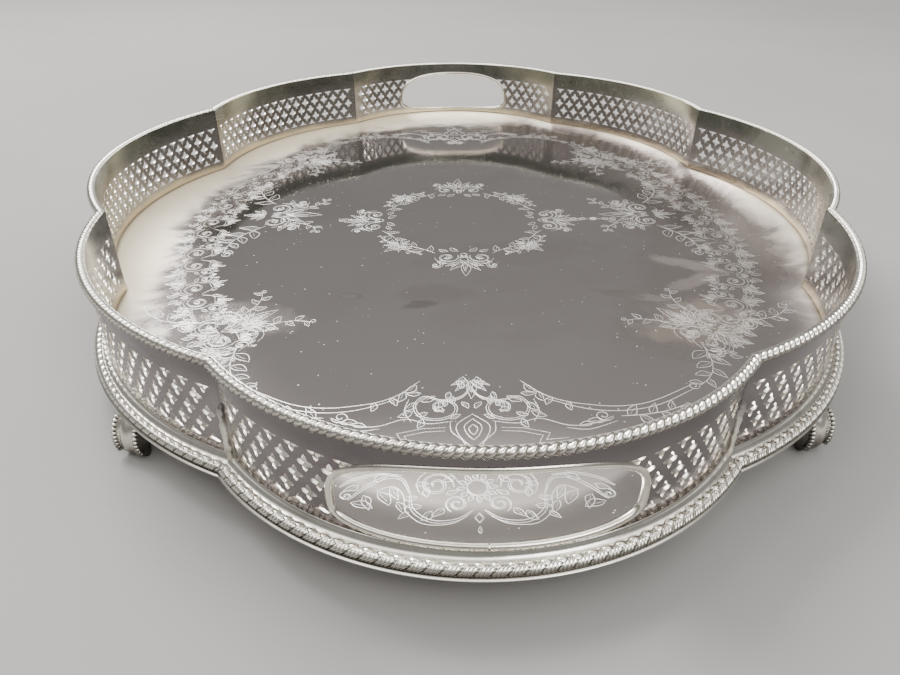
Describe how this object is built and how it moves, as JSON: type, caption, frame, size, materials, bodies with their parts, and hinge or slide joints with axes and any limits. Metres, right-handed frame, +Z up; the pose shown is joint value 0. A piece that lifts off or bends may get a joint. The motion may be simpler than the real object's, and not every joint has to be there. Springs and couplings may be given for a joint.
{
  "type": "gallery tray",
  "caption": "Oval silver-plated gallery tray: dished engraved plate inside a scalloped pierced wall with handle openings, rope rim, base border and cast scroll feet.",
  "frame": {"origin": "on the surface the feet stand on, under the middle of the plate", "axes": "+Z up out of the tray, +Y along the tray's long axis towards the back handle opening, +X to the right along its short axis"},
  "size_m": [0.435, 0.559, 0.0687],
  "materials": {
    "engraved_silver": "bright mirror polish with fine scratches, hand-cut engraving and light tarnish",
    "pierced_silver": "polished sheet with grey-green tarnish in the plain bands and bright pierced edges",
    "rope_silver": "bright cast beading with dark tarnish between the lobes",
    "border_silver": "bright smooth cove over slanted cast gadroons with dark tarnish in the grooves",
    "hoop_silver": "polished half-round wire with soft tarnish beside the solder",
    "foot_silver": "cast silver, polished on the raised leaf and dark in the recesses"
  },
  "bodies": {
    "root": {"tray_plate": "engraved_silver", "right_front_panel": "pierced_silver", "right_front_rope_rim": "rope_silver", "right_front_base_border": "border_silver", "right_side_panel": "pierced_silver", "right_side_rope_rim": "rope_silver", "right_side_base_border": "border_silver", "right_back_panel": "pierced_silver", "right_back_rope_rim": "rope_silver", "right_back_base_border": "border_silver", "back_handle_panel": "pierced_silver", "back_handle_rope_rim": "rope_silver", "back_handle_base_border": "border_silver", "back_handle_hoop": "hoop_silver", "left_back_panel": "pierced_silver", "left_back_rope_rim": "rope_silver", "left_back_base_border": "border_silver", "left_side_panel": "pierced_silver", "left_side_rope_rim": "rope_silver", "left_side_base_border": "border_silver", "left_front_panel": "pierced_silver", "left_front_rope_rim": "rope_silver", "left_front_base_border": "border_silver", "front_handle_panel": "pierced_silver", "front_handle_rope_rim": "rope_silver", "front_handle_base_border": "border_silver", "front_handle_hoop": "hoop_silver", "right_front_foot": "foot_silver", "right_back_foot": "foot_silver", "left_back_foot": "foot_silver", "left_front_foot": "foot_silver"}
  },
  "joints": []
}
